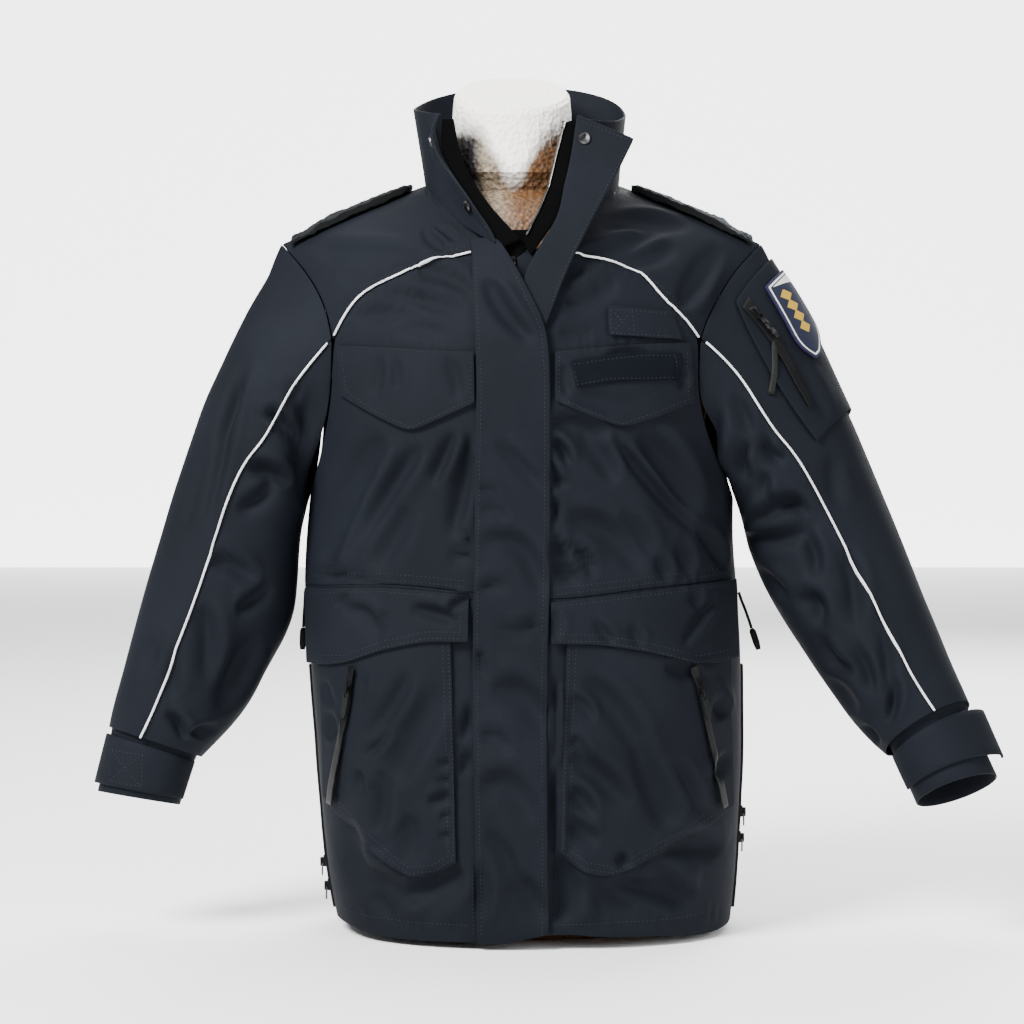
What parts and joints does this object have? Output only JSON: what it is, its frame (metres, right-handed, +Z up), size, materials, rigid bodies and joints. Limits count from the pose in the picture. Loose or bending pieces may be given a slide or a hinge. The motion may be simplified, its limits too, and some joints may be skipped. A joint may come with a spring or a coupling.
{
  "type": "anorak on limbless foam dress form",
  "caption": "Dark uniform anorak with open stand collar, storm flap, flap pockets, epaulettes and reflective piping, worn by a limbless foam dress form.",
  "frame": {"origin": "on the floor plane at the middle of the dress form's flat base", "axes": "+Z up, -Y the way the front faces, +X the wearer's left"},
  "size_m": [0.8928, 0.3086, 0.8512],
  "materials": {
    "shell_cloth": "matte dark navy shell cloth",
    "facing": "matte black facing",
    "foam": "white foam, stained at the throat",
    "zip_tape": "black woven tape with a coated sheen",
    "dark_metal": "dark worn metal",
    "reflective_piping": "light grey reflective piping",
    "badge": "embroidered navy and gold badge",
    "rubber": "matte black rubber"
  },
  "bodies": {
    "anorak": {"arm_patch": "badge", "back": "shell_cloth", "back_skirt": "shell_cloth", "chest_flap_left": "shell_cloth", "chest_flap_right": "shell_cloth", "collar": "shell_cloth", "collar_facing_left": "facing", "collar_facing_right": "facing", "cord_end_left": "rubber", "cord_end_right": "rubber", "cuff_left": "shell_cloth", "cuff_right": "shell_cloth", "cuff_strap_left": "shell_cloth", "cuff_strap_right": "shell_cloth", "drawcord_left": "rubber", "drawcord_right": "rubber", "dress_form": "foam", "epaulette_left": "shell_cloth", "epaulette_right": "shell_cloth", "front_left": "shell_cloth", "front_right": "shell_cloth", "front_zip": "zip_tape", "name_loop": "shell_cloth", "name_strip": "shell_cloth", "neck_flap": "shell_cloth", "patch_pocket_left": "shell_cloth", "patch_pocket_right": "shell_cloth", "pocket_flap_left": "shell_cloth", "pocket_flap_right": "shell_cloth", "pocket_zip_left": "zip_tape", "pocket_zip_right": "zip_tape", "side_zip_left": "zip_tape", "side_zip_right": "zip_tape", "skirt_left": "shell_cloth", "skirt_right": "shell_cloth", "sleeve_piping_left": "reflective_piping", "sleeve_piping_right": "reflective_piping", "sleeve_pocket": "shell_cloth", "sleeve_top_left": "shell_cloth", "sleeve_top_right": "shell_cloth", "sleeve_under_left": "shell_cloth", "sleeve_under_right": "shell_cloth", "sleeve_zip": "zip_tape", "snap_collar": "dark_metal", "snap_flap": "dark_metal", "snap_neck": "dark_metal", "storm_flap": "shell_cloth", "yoke_left": "shell_cloth", "yoke_piping_left": "reflective_piping", "yoke_piping_right": "reflective_piping", "yoke_right": "shell_cloth"},
    "front_zip_pull_body": {"front_zip_pull": "dark_metal"},
    "pocket_pull_left_body": {"pocket_pull_left": "rubber"},
    "pocket_pull_right_body": {"pocket_pull_right": "rubber"},
    "side_pull_left_1_body": {"side_pull_left_1": "dark_metal"},
    "side_pull_left_2_body": {"side_pull_left_2": "dark_metal"},
    "side_pull_right_1_body": {"side_pull_right_1": "dark_metal"},
    "side_pull_right_2_body": {"side_pull_right_2": "dark_metal"},
    "sleeve_zip_pull_body": {"sleeve_zip_pull": "dark_metal"}
  },
  "joints": [
    {"name": "front_zip_pull_hinge", "type": "hinge", "parent": "anorak", "child": "front_zip_pull_body", "pos_m": [-0.01008, -0.12551, 0.65677], "axis": [-0.9996, 0.024, -0.0119], "range_deg": [0, 18]},
    {"name": "pocket_pull_left_hinge", "type": "hinge", "parent": "anorak", "child": "pocket_pull_left_body", "pos_m": [0.17437, -0.11726, 0.2434], "axis": [-0.7663, -0.5758, -0.2852], "range_deg": [0, 120]},
    {"name": "pocket_pull_right_hinge", "type": "hinge", "parent": "anorak", "child": "pocket_pull_right_body", "pos_m": [-0.16963, -0.11385, 0.24507], "axis": [-0.7691, 0.6008, 0.218], "range_deg": [0, 120]},
    {"name": "side_pull_left_1_hinge", "type": "hinge", "parent": "anorak", "child": "side_pull_left_1_body", "pos_m": [0.22245, 0, 0.11107], "axis": [0, -1, 0], "range_deg": [0, 120]},
    {"name": "side_pull_left_2_hinge", "type": "hinge", "parent": "anorak", "child": "side_pull_left_2_body", "pos_m": [0.22082, 0, 0.08506], "axis": [0, -1, 0], "range_deg": [0, 120]},
    {"name": "side_pull_right_1_hinge", "type": "hinge", "parent": "anorak", "child": "side_pull_right_1_body", "pos_m": [-0.20041, 0, 0.06087], "axis": [0, 1, 0], "range_deg": [0, 120]},
    {"name": "side_pull_right_2_hinge", "type": "hinge", "parent": "anorak", "child": "side_pull_right_2_body", "pos_m": [-0.19634, 0, 0.03681], "axis": [0, 1, 0], "range_deg": [0, 120]},
    {"name": "sleeve_zip_pull_hinge", "type": "hinge", "parent": "anorak", "child": "sleeve_zip_pull_body", "pos_m": [0.23006, -0.06639, 0.61052], "axis": [-0.6933, -0.581, -0.4264], "range_deg": [0, 120]}
  ]
}
